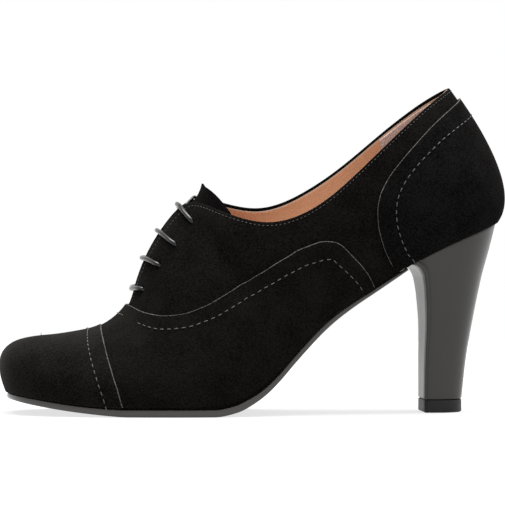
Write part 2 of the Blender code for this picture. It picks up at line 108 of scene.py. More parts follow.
# Opal glass scatters the light inside it, so its top is matt and glows almost as white as the air round it.
milk_glass = new_material(
    "milk glass lit from below", "#7A7A7A", Roughness=1.0, Specular_IOR_Level=0.0,
    Emission_Color=linear("#FFFFFF"), Emission_Strength=0.72,
)
half = FLOOR_SIZE / 2
floor_corners = [(-half, -half, 0), (half, -half, 0), (half, half, 0), (-half, half, 0)]
floor_mesh = bpy.data.meshes.new("floor")
floor_mesh.from_pydata(floor_corners, [], [(0, 1, 2, 3)])
floor_mesh.materials.append(milk_glass)
floor = new_object("floor", floor_mesh)

world = bpy.data.worlds.new("studio")
world.use_nodes = True
white_air = world.node_tree.nodes["Background"].inputs
white_air["Color"].default_value = linear("#FFFFFF")
white_air["Strength"].default_value = 1.0
bpy.context.scene.world = world
bpy.context.scene.view_settings.view_transform = "Standard"

overhead = bpy.data.lights.new("overhead", "AREA")
overhead.shape = "RECTANGLE"
overhead.size = 1.3
overhead.size_y = 0.9
overhead.energy = 42.0
holder = new_object("overhead", overhead)
holder.location = (0.0, 0.05, 1.3)


# Quarters: two pieces of suede from the throat round to the back, where they are joined under the counter.
# They are pulled over the last and keep its shape, so the last is worked out first, as in the part's source.
LENGTH = 0.2205  # toe tip to the back of the heel, along the floor
BALL_WIDTH = 0.078  # across the feather line at the ball
HEEL_HEIGHT = 0.0840  # floor to the lower edge of the upper at the back
TOP_HEIGHT = 0.1430  # floor to the top of the collar at the back
TOE_SPRING = 0.0061  # how far the toe is lifted off the floor
SOLE_THICKNESS = 0.0032
CLEARANCE = 0.0003  # between pieces that lie on each other

# The two sides are joined over the ridge up to THROAT, and then part as facings up to FACING_TOP.
# Both are section numbers, counted from 0 in the table of sections.
THROAT = 5
FACING_TOP = 9

Section = namedtuple(
    "Section", "foot outer inner crest height inner_up opening turn rise rise_inner lift fall drop"
)
# One row for each section of the last, from the toe round the side to the middle of the back.
# foot and crest: lower and upper end of the section, as shares of LENGTH from the toe tip
# outer and inner: half widths of the feather line, as shares of BALL_WIDTH
# height: upper end, as a share of TOP_HEIGHT, and inner_up: how much higher it is on the inner side
# opening: half of the gap between the two sides at the upper end, as a share of BALL_WIDTH
# turn: the way that the section faces, in degrees from the toe round to the heel
# rise, lift: angle and pull of the wall as it leaves the feather line, and rise_inner on the inner side
# fall, drop: angle and pull of the wall as it arrives at its upper end
SECTIONS = [Section(*row) for row in (
    (0.012, -0.038, 0.038, 0.076, 0.226, 0.000, 0.000, 0, 67, 67, 0.70, 4, 0.55),
    (0.030, 0.190, 0.262, 0.088, 0.228, 0.000, 0.000, 40, 68, 68, 0.56, 2, 0.52),
    (0.085, 0.330, 0.385, 0.114, 0.232, 0.000, 0.000, 68, 70, 70, 0.46, 1, 0.52),
    (0.160, 0.420, 0.450, 0.153, 0.242, 0.000, 0.000, 82, 72, 72, 0.40, 0, 0.50),
    (0.240, 0.468, 0.480, 0.200, 0.265, 0.000, 0.000, 90, 74, 74, 0.40, 1, 0.47),
    (0.320, 0.494, 0.474, 0.245, 0.324, 0.000, 0.000, 90, 76, 76, 0.38, 5, 0.42),
    (0.370, 0.500, 0.450, 0.263, 0.396, 0.000, 0.026, 90, 78, 74, 0.38, 12, 0.36),
    (0.420, 0.492, 0.404, 0.289, 0.498, 0.000, 0.040, 90, 80, 70, 0.38, 16, 0.32),
    (0.470, 0.460, 0.335, 0.330, 0.596, 0.000, 0.055, 90, 82, 64, 0.38, 20, 0.30),
    (0.520, 0.415, 0.262, 0.370, 0.650, 0.000, 0.085, 90, 82, 58, 0.38, 28, 0.28),
    (0.565, 0.376, 0.218, 0.424, 0.629, 0.022, 0.270, 90, 80, 55, 0.36, 52, 0.26),
    (0.625, 0.335, 0.200, 0.518, 0.592, 0.032, 0.362, 90, 78, 56, 0.36, 76, 0.30),
    (0.690, 0.315, 0.220, 0.614, 0.639, 0.037, 0.375, 90, 76, 60, 0.36, 84, 0.32),
    (0.765, 0.320, 0.272, 0.694, 0.737, 0.025, 0.352, 90, 74, 66, 0.36, 82, 0.32),
    (0.840, 0.333, 0.318, 0.774, 0.853, 0.014, 0.305, 94, 72, 70, 0.36, 76, 0.32),
    (0.925, 0.300, 0.300, 0.850, 0.954, 0.005, 0.190, 128, 70, 70, 0.34, 60, 0.36),
    (0.983, 0.000, 0.000, 0.893, 1.000, 0.000, 0.000, 180, 48, 48, 0.27, 53, 0.34),
)]
LAST_SECTION = len(SECTIONS) - 1

# Lower edge of the upper along the shoe: share of LENGTH, share of HEEL_HEIGHT above the tread
FEATHER_RISE = [
    (0.00, 0.0), (0.410, 0.0), (0.451, 0.021), (0.479, 0.055), (0.507, 0.103), (0.536, 0.174),
    (0.565, 0.262), (0.598, 0.360), (0.623, 0.430), (0.650, 0.494), (0.676, 0.546), (0.701, 0.591),
    (0.726, 0.633), (0.770, 0.710), (0.807, 0.777), (0.850, 0.840), (0.886, 0.888), (0.984, 1.0),
    (1.0, 1.020),
]
# Toe spring along the shoe: share of LENGTH, share of TOE_SPRING
SPRING = [(0.0, 1.0), (0.055, 0.70), (0.103, 0.43), (0.150, 0.22), (0.200, 0.07), (0.240, 0.0), (1.0, 0.0)]
# Middle line of the foot: share of LENGTH, share of BALL_WIDTH towards the inner side
RIDGE = [(0.0, 0.045), (0.2, 0.045), (0.35, 0.02), (0.6, 0.0), (1.0, 0.0)]


def blend(u, start, start_slope, end, end_slope):
    """A cubic curve from start to end with the slopes given there, read at u from 0 to 1."""
    return (
        (2 * u**3 - 3 * u**2 + 1) * start
        + (u**3 - 2 * u**2 + u) * start_slope
        + (3 * u**2 - 2 * u**3) * end
        + (u**3 - u**2) * end_slope
    )


def smooth(table, at):
    """A table of (place, value) read anywhere, with no overshoot: flat stretches stay flat."""
    xs, ys = np.array(table, float).T
    steps, slopes = np.diff(xs), np.diff(ys) / np.diff(xs)
    rising = slopes[:-1] * slopes[1:] > 0
    inner = np.where(rising, 2 * slopes[:-1] * slopes[1:] / np.where(rising, slopes[:-1] + slopes[1:], 1), 0)
    tangents = np.concatenate([[slopes[0]], inner, [slopes[-1]]])
    at = np.clip(at, xs[0], xs[-1])
    i = np.clip(np.searchsorted(xs, at, side="right") - 1, 0, len(steps) - 1)
    u = (at - xs[i]) / steps[i]
    return blend(u, ys[i], steps[i] * tangents[i], ys[i + 1], steps[i] * tangents[i + 1])


def along(share):
    """X of a place given as a share of the length from the toe tip."""
    return (np.asarray(share, float) - 0.5) * LENGTH


def share_of(x):
    return np.asarray(x, float) / LENGTH + 0.5


def feather_z(x):
    """Height of the upper's lower edge, which is the top of the sole."""
    share = share_of(x)
    tread = SOLE_THICKNESS + CLEARANCE
    rise = smooth(FEATHER_RISE, share) * (HEEL_HEIGHT - tread)
    return tread + rise + smooth(SPRING, share) * TOE_SPRING


def ridge_y(x):
    return smooth(RIDGE, share_of(x)) * BALL_WIDTH


def section_points(section, side):
    """Four control points of one section of the last, from the feather line to its upper end."""
    width = section.outer if side < 0 else section.inner
    foot = np.array([along(section.foot), side * width * BALL_WIDTH, 0.0])
    foot[2] = feather_z(foot[0])
    crest_x = along(section.crest)
    opening = side * section.opening * BALL_WIDTH
    height = section.height + (section.inner_up if side > 0 else 0)
    crest = np.array([crest_x, ridge_y(crest_x) + opening, height * TOP_HEIGHT])
    turn = math.radians(section.turn)
    outward = np.array([-math.cos(turn), side * math.sin(turn), 0.0])
    up = np.array([0.0, 0.0, 1.0])
    chord = np.linalg.norm(crest - foot)
    rise = math.radians(section.rise if side < 0 else section.rise_inner)
    fall = math.radians(section.fall)
    low = foot + section.lift * chord * (math.cos(rise) * outward + math.sin(rise) * up)
    high = crest + section.drop * chord * (math.cos(fall) * outward - math.sin(fall) * up)
    return np.array([foot, low, high, crest])


def closed_spline_tangents(points):
    """Tangents of the smooth closed curve through points, for each of their control points."""
    count = len(points)
    matrix = 4 * np.eye(count) + np.roll(np.eye(count), 1, 0) + np.roll(np.eye(count), -1, 0)
    ahead, behind = np.roll(points, -1, 0), np.roll(points, 1, 0)
    return np.linalg.solve(matrix, 3 * (ahead - behind).reshape(count, -1)).reshape(points.shape)


# The ring runs along the outer side to the back, then along the inner side to the toe again.
RING = np.array([section_points(s, -1) for s in SECTIONS] + [section_points(s, 1) for s in SECTIONS[-2:0:-1]])
RING_TANGENTS = closed_spline_tangents(RING)
OPENINGS = [(i, s.opening) for i, s in enumerate(SECTIONS)]


def unit(vectors):
    """The same directions with a length of one."""
    return vectors / np.linalg.norm(vectors, axis=-1, keepdims=True)


def last_surface(section, up, side):
    """The bare last. section: place along it, up: 0 at the feather line to 1 at the upper end."""
    section, up = np.broadcast_arrays(np.asarray(section, float), np.asarray(up, float))
    place = np.where(side < 0, section, 2 * LAST_SECTION - section) % len(RING)
    i = np.floor(place).astype(int) % len(RING)
    u = (place - np.floor(place))[..., None, None]
    j = (i + 1) % len(RING)
    controls = blend(u, RING[i], RING_TANGENTS[i], RING[j], RING_TANGENTS[j])
    controls[..., 0, 2] = feather_z(controls[..., 0, 0])
    edge = ridge_y(controls[..., 3, 0]) + side * smooth(OPENINGS, section) * BALL_WIDTH
    controls[..., 3, 1] = np.where(section < FACING_TOP, edge, controls[..., 3, 1])
    t = up[..., None]
    weights = [(1 - t) ** 3, 3 * t * (1 - t) ** 2, 3 * t**2 * (1 - t), t**3]
    return sum(w * controls[..., k, :] for k, w in enumerate(weights))


def last_normal(section, up, side):
    """The way out of the last, square to its surface. On the joined ridge it leans to neither side."""
    step = 0.02
    section, up = np.broadcast_arrays(section, up)
    climb = last_surface(section, np.minimum(up + step, 1), side)
    climb = climb - last_surface(section, np.maximum(up - step, 0), side)
    ahead = last_surface(section + step, up, side) - last_surface(section - step, up, side)
    ridge = last_surface(section + step, 1, side) - last_surface(np.maximum(section - step, 0), 1, side)
    joined = ((up > 0.999) & (section <= THROAT))[..., None]
    climb = np.where(joined, [0, -side, 0], climb)
    ahead = np.where(joined, ridge, ahead)
    return unit(np.cross(ahead, climb) * (-side))


def shoe_point(section, up, side, out=0.0):
    """A point at the given distance outside the last, or inside it where out is negative."""
    return last_surface(section, up, side) + out * last_normal(section, up, side)


def new_piece(name, coords, faces, materials, slots=None):
    """A smooth mesh object that rides on the shoe."""
    mesh = bpy.data.meshes.new(name)
    mesh.from_pydata([tuple(p) for p in coords], [], faces)
    for material in materials:
        mesh.materials.append(material)
    if slots:
        mesh.polygons.foreach_set("material_index", slots)
    mesh.polygons.foreach_set("use_smooth", [True] * len(mesh.polygons))
    mesh.update()
    piece = new_object(name, mesh)
    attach(piece, "root")
    return piece


FACES_DOWN = -0.6  # a rim whose way out has a height below this is seen only from under the shoe


def leather_layer(name, grids, thickness, materials):
    """Leather from grids of points on its outer face: a rounded rim and an inner face are added.

    Grids that meet are joined there. materials are for the outer face, the rim and the inner face; a rim that
    faces down has the inner face's.
    """
    bulge, rim_steps = 0.3, 5  # how far the rim stands out, as a share of the thickness, and its strips
    sheet = bmesh.new()
    for grid in grids:
        verts = [[sheet.verts.new(p) for p in row] for row in grid]
        for low, high in zip(verts, verts[1:]):
            for c in range(len(low) - 1):
                sheet.faces.new((low[c], low[c + 1], high[c + 1], high[c]))
    bmesh.ops.remove_doubles(sheet, verts=sheet.verts, dist=1e-5)
    bmesh.ops.dissolve_degenerate(sheet, edges=sheet.edges, dist=1e-6)
    bmesh.ops.recalc_face_normals(sheet, faces=sheet.faces)
    centre = sum((v.co for v in sheet.verts), Vector()) / len(sheet.verts)
    if sum((f.calc_center_median() - centre).dot(f.normal) * f.calc_area() for f in sheet.faces) < 0:
        bmesh.ops.reverse_faces(sheet, faces=sheet.faces)
    sheet.normal_update()
    sheet.verts.index_update()
    points = [v.co.copy() for v in sheet.verts]
    normals = [v.normal.copy() for v in sheet.verts]
    outer = [tuple(v.index for v in f.verts) for f in sheet.faces]
    open_edges = {frozenset(v.index for v in e.verts) for e in sheet.edges if len(e.link_faces) == 1}
    sheet.free()
    count = len(points)
    coords = points + [p - thickness * n for p, n in zip(points, normals)]
    faces = outer + [tuple(count + i for i in reversed(f)) for f in outer]
    rim = [(f[k - 1], f[k]) for f in outer for k in range(len(f))]
    rim = [(a, b) for a, b in rim if frozenset((a, b)) in open_edges]
    after, before = dict(rim), {b: a for a, b in rim}
    arcs, low = {}, {}
    for i in after:
        away = (points[after[i]] - points[before[i]]).cross(normals[i]).normalized()
        arcs[i] = [i]
        for k in range(1, rim_steps):
            angle = math.pi * k / rim_steps
            depth = 0.5 * thickness * (math.cos(angle) - 1)
            coords.append(points[i] + depth * normals[i] + bulge * thickness * math.sin(angle) * away)
            arcs[i].append(len(coords) - 1)
        arcs[i].append(count + i)
        low[i] = away.z < FACES_DOWN
    slots = [0] * len(outer) + [2] * len(outer)
    for a, b in rim:
        for k in range(rim_steps):
            faces.append((arcs[b][k], arcs[a][k], arcs[a][k + 1], arcs[b][k + 1]))
            slots.append(2 if low[a] else 1)
    return new_piece(name, coords, faces, materials, slots)


STROKE_SIZE = 0.012  # where the brush and the fingers turned the nap
TUFT_SIZE = 0.0007  # fibres are about 0.05 mm thick, too fine to show, so tufts of them are drawn
NAP_HEIGHT = 0.0003


def suede(name, nap_hex, turned_hex, sheen):
    """Split suede, dyed and brushed: matt, with a soft sheen, and paler where tufts of the nap lie over."""
    material = new_material(
        name, nap_hex, Roughness=1.0, Specular_IOR_Level=0.0,
        Sheen_Weight=sheen, Sheen_Roughness=0.4, Sheen_Tint=linear("#C9C3BE"),
    )
    tree = material.node_tree
    shader = tree.nodes["Principled BSDF"]
    place = add_node(tree, "TexCoord").outputs["Object"]
    strokes = add_node(tree, "TexNoise", {"Vector": place, "Scale": 1 / STROKE_SIZE, "Detail": 3.0})
    tufts = add_node(tree, "TexNoise", {"Vector": place, "Scale": 1 / TUFT_SIZE, "Detail": 3.0})
    soft = add_node(
        tree, "MapRange",
        {"Value": strokes.outputs["Fac"], "From Min": 0.3, "From Max": 0.7, "To Min": -0.25, "To Max": 0.25},
    )
    speck = add_node(tree, "MapRange", {"Value": tufts.outputs["Fac"], "From Min": 0.35, "From Max": 0.65})
    both = add_node(
        tree, "Math", {0: soft.outputs["Result"], 1: speck.outputs["Result"]},
        operation="ADD", use_clamp=True,
    )
    tone = add_node(
        tree, "MixRGB",
        {"Fac": both.outputs["Value"], "Color1": linear(nap_hex), "Color2": linear(turned_hex)},
    )
    tree.links.new(tone.outputs["Color"], shader.inputs["Base Color"])
    nap = add_node(tree, "Bump", {"Height": tufts.outputs["Fac"], "Strength": 0.6, "Distance": NAP_HEIGHT})
    tree.links.new(nap.outputs["Normal"], shader.inputs["Normal"])
    return material


SUEDE_WALL = 0.0010
STEPS_A_SECTION = 14
quarter_suede = suede("brushed black suede, quarters", "#080707", "#151413", 0.030)
all_sections = np.linspace(0, LAST_SECTION, LAST_SECTION * STEPS_A_SECTION + 1)
all_ups = np.linspace(0, 1, 61)
whole = np.meshgrid(all_sections, all_ups, indexing="ij")
quarters = leather_layer(
    "quarters", [last_surface(*whole, side) for side in (-1, 1)],
    SUEDE_WALL, [quarter_suede] * 3,
)
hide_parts("upper")


# Lining: smooth peach calf, glued inside the quarters and trimmed along the collar.
# Its pale cut edge stands a little above the suede on the outer side and is cut back on the inner side.
UPPER_WALL = 0.0018
LINING_WALL = UPPER_WALL - SUEDE_WALL
LINING_GAP = 0.00003
LINING_EDGE = {-1: -0.00015, 1: 0.0013}  # how far below the suede's edge it ends on each side
LINING_STARTS = 0.5  # sections behind the throat over which its edge moves from the suede's to its own
PATCH_SIZE = 0.0167  # the dye takes unevenly in patches of this size


def down_from_crest(section, side, distances):
    """How far up the sections the places are that lie at the given distances down from the crest."""
    ups = np.linspace(1.05, 0, 211)
    crest = 10  # the sample of ups that lies on the crest
    grid = np.meshgrid(section, ups, indexing="ij")
    points = last_surface(*grid, side)
    steps = np.linalg.norm(np.diff(points, axis=1), axis=2)
    run = np.concatenate([np.zeros((len(section), 1)), np.cumsum(steps, axis=1)], axis=1)
    run = run - run[:, crest : crest + 1]
    return np.array([np.interp(d, r, ups) for d, r in zip(distances, run)])


def calf(name, hex_code, pale_hex, roughness, grain, depth):
    """Vegetable tanned calf, finished with a thin clear dressing: fine pores and a low, soft gloss."""
    material = new_material(name, hex_code, Roughness=roughness, Coat_Weight=0.06)
    tree = material.node_tree
    shader = tree.nodes["Principled BSDF"]
    place = add_node(tree, "TexCoord").outputs["Object"]
    cloud = add_node(tree, "TexNoise", {"Vector": place, "Scale": 1 / PATCH_SIZE, "Detail": 3.0})
    tone = add_node(
        tree, "MixRGB",
        {"Fac": cloud.outputs["Fac"], "Color1": linear(hex_code), "Color2": linear(pale_hex)},
    )
    tree.links.new(tone.outputs["Color"], shader.inputs["Base Color"])
    pores = add_node(tree, "TexVoronoi", {"Vector": place, "Scale": 1 / grain})
    bump = add_node(tree, "Bump", {"Height": pores.outputs["Distance"], "Strength": 0.35, "Distance": depth})
    tree.links.new(bump.outputs["Normal"], shader.inputs["Normal"])
    return material


cut_calf = calf("cut edge of the calf", "#6E5546", "#866B59", 0.7, 0.0008, 0.00003)
lining_calf = calf("dressed peach calf lining", "#BD8A66", "#C99A78", 0.5, 0.0008, 0.00006)
lining_grids = []
for side in (-1, 1):
    opened = np.clip((all_sections - THROAT) / LINING_STARTS, 0, 1)
    top = down_from_crest(all_sections, side, LINING_EDGE[side] * opened)
    top = np.where(all_sections <= THROAT, 1.0, top)
    lining_grids.append(
        shoe_point(all_sections[:, None], np.outer(top, all_ups), side, -SUEDE_WALL - LINING_GAP)
    )
lining = leather_layer("lining", lining_grids, LINING_WALL, [lining_calf, cut_calf, lining_calf])
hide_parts("upper")


# Heel grip: a piece of pale pigskin suede, glued inside the back of the lining so that the heel doesn't slip.
# It starts at the sides of the heel and stops just below the lining's edge.
GRIP_FRONT = 13.87  # the section where it starts
GRIP_FOOT = 0.06  # its lower edge, as a share of the way up
GRIP_DOWN = 0.0006  # its upper edge, below the lining's
GRIP_WALL = 0.0005
# Undyed pigskin, sanded: a pale pinkish grey with a fine speckle and no gloss.
grip_suede = suede("pale pigskin suede", "#A8948B", "#C9B7B0", 0.10)
grip_sections = np.linspace(GRIP_FRONT, LAST_SECTION, 90)
grip_ups = np.linspace(GRIP_FOOT, 1.0, 61)
grip_grids = []
for side in (-1, 1):
    down = np.full(len(grip_sections), LINING_EDGE[side] + GRIP_DOWN)
    top = down_from_crest(grip_sections, side, down)
    grip_grids.append(
        shoe_point(grip_sections[:, None], np.outer(top, grip_ups), side, -UPPER_WALL - 2 * LINING_GAP)
    )
leather_layer("heel_grip", grip_grids, GRIP_WALL, [grip_suede] * 3)


# Vamp: suede stitched over the front of the quarters, from the toe cap back to the heel.
# Its upper edge is the swan neck seam, which rises along the waist and drops to the sole.
OVERLAY_WALL = 0.0010
OVERLAY_OUT = CLEARANCE + OVERLAY_WALL
OVERLAY_FOOT = 0.02  # overlays start this share of the way up the sections
BUTT = 0.022  # sections between the toe cap's edge and the vamp's
NEAREST_ROUNDS = 14
# Places on the last: section number, and share of the way up the section
CAP_EDGE = [(3.86, 0.0), (3.76, 0.14), (3.69, 0.28), (3.67, 0.42), (3.70, 0.57), (3.78, 0.76), (3.93, 1.0)]
VAMP_TOP = [
    (5.05, 1.0), (5.18, 0.92), (5.50, 0.74), (5.92, 0.628), (6.32, 0.554), (7.10, 0.474), (8.00, 0.440),
    (8.66, 0.433), (9.40, 0.452), (10.22, 0.521), (11.02, 0.638), (11.45, 0.684), (11.80, 0.672),
]
VAMP_BACK = [(12.04, 0.621), (12.19, 0.547), (12.30, 0.385), (12.44, 0.186), (12.57, 0.0)]


def smooth_line(points, count):
    """A smooth line through points, with count points on each stretch."""
    at = np.linspace(0, len(points) - 1, count * (len(points) - 1) + 1)
    return np.column_stack([smooth(list(enumerate(column)), at) for column in np.array(points).T])


def nearest_places(targets, guess, side, weights=(1.0, 1.0, 1.0)):
    """Places whose points on the bare last come nearest to the targets, each axis with its own weight."""
    places = np.array(guess, float)
    step = 1e-3
    for _ in range(NEAREST_ROUNDS):
        here = last_surface(*places.T, side)
        slopes = [
            (last_surface(places[:, 0] + a * step, places[:, 1] + b * step, side) - here) / step
            for a, b in ((1, 0), (0, 1))
        ]
        slopes = np.stack(slopes, -1) * np.array(weights)[:, None]
        miss = ((targets - here) * weights)[..., None]
        turned = slopes.transpose(0, 2, 1)
        move = np.linalg.solve(turned @ slopes + 1e-9 * np.eye(2), turned @ miss)[..., 0]
        places = places + np.clip(move, -0.2, 0.2)
    return places


def opposite(places):
    """Places on the inner side that look the same from the side as these places on the outer side."""
    places = np.array(places, float)
    targets = last_surface(*places.T, -1)
    targets[:, 1] = 2 * ridge_y(targets[:, 0]) - targets[:, 1]
    shared = (places[:, 0] == 0) | (places[:, 0] == LAST_SECTION)
    shared |= (places[:, 0] <= THROAT) & (places[:, 1] == 1)
    found = nearest_places(targets, places, 1, (1.0, 0.1, 1.0))
    return np.where(shared[:, None], places, found)


def run_along(points):
    """How far along a line each of its points is."""
    return np.concatenate([[0], np.cumsum(np.linalg.norm(np.diff(points, axis=0), axis=1))])


def read_at(at, run, rows):
    """Rows that belong to the distances in run, read at other distances."""
    return np.column_stack([np.interp(at, run, column) for column in rows.T])


def evened(places, count):
    """The same line over the outer side through count places, evenly spaced in millimetres."""
    places = np.array(places, float)
    run = run_along(last_surface(*places.T, -1))
    return read_at(np.linspace(0, run[-1], count), run, places)


def panel(left, right, high, rows, columns, out):
    """Grids for both sides of a panel, from its edges on the outer side. Its foot runs straight."""
    left, right = np.array(left, float), np.array(right, float)
    left[0, 1] = right[0, 1] = OVERLAY_FOOT
    low = [left[0], right[0]]
    outer_edges = [evened(low, rows), evened(high, rows), evened(left, columns), evened(right, columns)]
    grids = []
    for side in (-1, 1):
        edges = outer_edges if side < 0 else [opposite(edge) for edge in outer_edges]
        low_edge, high_edge, left_edge, right_edge = edges
        w = np.linspace(0, 1, rows)[:, None, None]
        v = np.linspace(0, 1, columns)[None, :, None]
        places = (1 - v) * low_edge[:, None] + v * high_edge[:, None]
        places = places + (1 - w) * left_edge[None] + w * right_edge[None]
        corners = (1 - w) * ((1 - v) * low_edge[0] + v * high_edge[0])
        corners = corners + w * ((1 - v) * low_edge[-1] + v * high_edge[-1])
        places = places - corners
        grids.append(shoe_point(places[..., 0], places[..., 1], side, out))
    return grids


SWAN_STEPS = 8
swan = smooth_line(VAMP_TOP + VAMP_BACK, SWAN_STEPS)
peak = SWAN_STEPS * (len(VAMP_TOP) - 1)
cap_line = smooth_line(CAP_EDGE, 6)
vamp_front = cap_line + [BUTT, 0]
vamp_high = np.concatenate([[(vamp_front[-1, 0], 1.0), (THROAT, 1.0)], swan[: peak + 1]])
vamp_back = swan[: peak - 1 : -1]
vamp_suede = suede("brushed black suede, vamp", "#080807", "#151412", 0.052)
# The overlays' cut edges are given a paler grey suede: a painted highlight, standing in for the fine pale
# line of light along each edge.
edge_highlight_suede = suede("suede cut edge, painted pale highlight", "#2E2C2A", "#5E5B58", 0.1)
vamp = leather_layer(
    "vamp_overlay", panel(vamp_front, vamp_back, vamp_high, rows=190, columns=50, out=OVERLAY_OUT),
    OVERLAY_WALL, [vamp_suede, edge_highlight_suede, vamp_suede],
)
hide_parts("vamp")


# Toe cap: thicker suede pulled over the toe and stitched down with a straight seam across.
# Its nap is brushed more, so its top catches the light from above.
TOE_CAP_WALL = 0.0015
CAP_OUT = CLEARANCE + TOE_CAP_WALL
cap_tip = [(0.0, 0.0), (0.0, 1.0)]
cap_high = [cap_tip[-1], cap_line[-1]]
cap_suede = suede("brushed black suede, toe cap", "#080707", "#171615", 0.105)
# Its rim takes the paler suede with the painted edge highlight.
toe_cap = leather_layer(
    "toe_cap_overlay", panel(cap_tip, cap_line, cap_high, rows=90, columns=50, out=CAP_OUT),
    TOE_CAP_WALL, [cap_suede, edge_highlight_suede, cap_suede],
)
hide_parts("toe_cap")


# Counter: suede round the heel, stitched over the quarters below the collar.
# It hides their join at the back, and its front edge bends over into its top edge.
COUNTER_EDGE = [
    (13.22, 0.0), (13.04, 0.137), (13.0, 0.27), (13.05, 0.418), (13.24, 0.591), (13.42, 0.674),
    (13.69, 0.734), (14.0, 0.773), (14.39, 0.816), (14.80, 0.856), (15.20, 0.88), (16.0, 0.905),
]
COUNTER_CORNER = 5  # the row of COUNTER_EDGE where its front turns into its top
counter_front = smooth_line(COUNTER_EDGE[: COUNTER_CORNER + 1], 8)
counter_high = smooth_line(COUNTER_EDGE[COUNTER_CORNER:], 8)
counter_back = [(LAST_SECTION, 0.0), counter_high[-1]]
counter_suede = suede("brushed black suede, counter", "#060606", "#141313", 0.025)
# Its rim takes the paler suede with the painted edge highlight.
counter = leather_layer(
    "counter_overlay", panel(counter_front, counter_back, counter_high, rows=90, columns=60, out=OVERLAY_OUT),
    OVERLAY_WALL, [counter_suede, edge_highlight_suede, counter_suede],
)
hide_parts("counter")


# Outsole: a thin leather sole, its edge dyed dark and polished, its bottom buffed.
# It is cemented under the upper, and skived thin where it ends at the breast of the heel.
WAIST_SOLE_THICKNESS = 0.0021
SOLE_EDGE = 0.0010  # how far the sole stands out past the feather line
HEEL_BREAST = 0.799  # where the sole ends at the front of the heel, as a share of LENGTH from the toe
# Sole thickness along the shoe: share of LENGTH, 0 for the waist's and 1 for the tread's.
# Below 0 the sole is skived towards the heel.
SOLE_TAPER = [
    (0.0, 0.1), (0.06, 0.6), (0.15, 0.7), (0.24, 1.0), (0.44, 1.0),
    (0.56, 0.0), (0.62, 0.0), (0.80, -1.0), (1.0, -1.0),
]
# Rounded edge of the sole: share of the thickness down, and distance in from the widest line
SOLE_PROFILE = [
    (0.0, 0.0003), (0.06, 0.0001), (0.16, 0.0), (0.50, -0.0001), (0.80, 0.0), (0.90, 0.00015),
    (0.97, 0.0004), (1.0, 0.0008),
]


def plan_edge(section, side, grow):
    """The feather line seen from above, moved outwards by grow, at its own height."""
    here = last_surface(section, 0, side)
    run = last_surface(section + 0.01, 0, side) - last_surface(section - 0.01, 0, side)
    outward = np.array([run[1], -run[0]]) * -side
    here[:2] += grow * outward / np.linalg.norm(outward)
    here[2] = feather_z(here[0])
    return here


def below(point, depth):
    """A point moved down, square to the slope of the sole."""
    step = 0.0005
    slope = (feather_z(point[0] + step) - feather_z(point[0] - step)) / (2 * step)
    return point + depth * np.array([slope, 0, -1]) / math.hypot(slope, 1)


def sole_thickness(x):
    return WAIST_SOLE_THICKNESS + smooth(SOLE_TAPER, share_of(x)) * (SOLE_THICKNESS - WAIST_SOLE_THICKNESS)


def ring_faces(rings, count):
    """Faces between rings of count points each."""
    faces = []
    for r in range(rings - 1):
        for i in range(count):
            j = (i + 1) % count
            faces.append((r * count + i, r * count + j, (r + 1) * count + j, (r + 1) * count + i))
    return faces


def bottom_piece(name, sections, profile, top, grow, thickness, materials):
    """A flat piece under the last, with the edge that its profile gives.

    top: how far it starts above the feather line, grow: how far it stands out past it, thickness: a function
    of x. The first of the materials is for the edge and the last for the faces.
    """
    rings = []
    across = (0.2, 0.4, 0.6, 0.8)
    for section in sections:
        near, far = [], []
        for side, half in ((-1, near), (1, far)):
            for share, inset in profile:
                edge = plan_edge(section, side, grow - inset)
                half.append(below(edge, share * thickness(edge[0]) - top))
        bottom = [near[-1] + s * (far[-1] - near[-1]) for s in across]
        rings.append(near + bottom + far[::-1] + [far[0] + s * (near[0] - far[0]) for s in across])
    count = len(rings[0])
    last = (len(rings) - 1) * count
    faces = ring_faces(len(rings), count)
    faces += [tuple(range(count)), tuple(last + i for i in reversed(range(count)))]
    edge, flat = [0] * (len(profile) - 1), [len(materials) - 1] * (len(across) + 1)
    slots = (edge + flat) * 2 * (len(rings) - 1) + [0, 0]
    return new_piece(name, [p for ring in rings for p in ring], faces, materials, slots)


# Edge dressing: black wax ironed into the leather, so the edge mirrors the white table in a soft grey band.
sole_edge = new_material(
    "burnished sole edge", "#2F2D2B", Roughness=0.35, Coat_Weight=0.2, Coat_Roughness=0.2
)
sole_leather = calf("buffed sole leather", "#2A2624", "#37322F", 0.6, 0.0009, 0.00005)
dense_steps = np.linspace(0, LAST_SECTION, 1601)
foot_x = last_surface(dense_steps, 0, -1)[:, 0]
sole_end = np.interp(along(HEEL_BREAST) - CLEARANCE, foot_x, dense_steps)
toe_steps = np.linspace(0, 2, 40)[:-1]
outsole = bottom_piece(
    "leather_sole", np.concatenate([toe_steps, np.linspace(2, sole_end, 140)]), SOLE_PROFILE,
    -CLEARANCE, SOLE_EDGE, sole_thickness, [sole_edge, sole_leather],
)
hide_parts("outsole")


# Sock: peach calf glued over the insole board, with its edge turned down round it.
# It lies on the sole inside the upper, with a small gap all round.
INSOLE_THICKNESS = 0.0022
SOCK_PROFILE = [(0.0, 0.0005), (0.08, 0.0002), (0.2, 0.0), (1.0, 0.0)]
sock_calf = calf("peach calf sock", "#B07E5D", "#BA8A69", 0.5, 0.0008, 0.00006)
sock_sections = np.concatenate([toe_steps, np.linspace(2, 14, 130)[:-1], np.linspace(14, LAST_SECTION, 50)])
sock = bottom_piece(
    "sock", sock_sections, SOCK_PROFILE,
    INSOLE_THICKNESS, -UPPER_WALL - 2 * CLEARANCE, lambda x: INSOLE_THICKNESS, [sock_calf],
)
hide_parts("insole")


# Heel: a moulded plastic block with a glossy dark cover, flat in front and round at the back.
# It is screwed up into the seat, and its flat breast catches the light off the table.
LIFT_HEIGHT = 0.0056  # the wear lift under the heel
HEEL_SLANT = 0.040  # how much nearer the toe the heel's front lies on the inner side, for each unit of width
HeelRing = namedtuple("HeelRing", "up front back half_width")
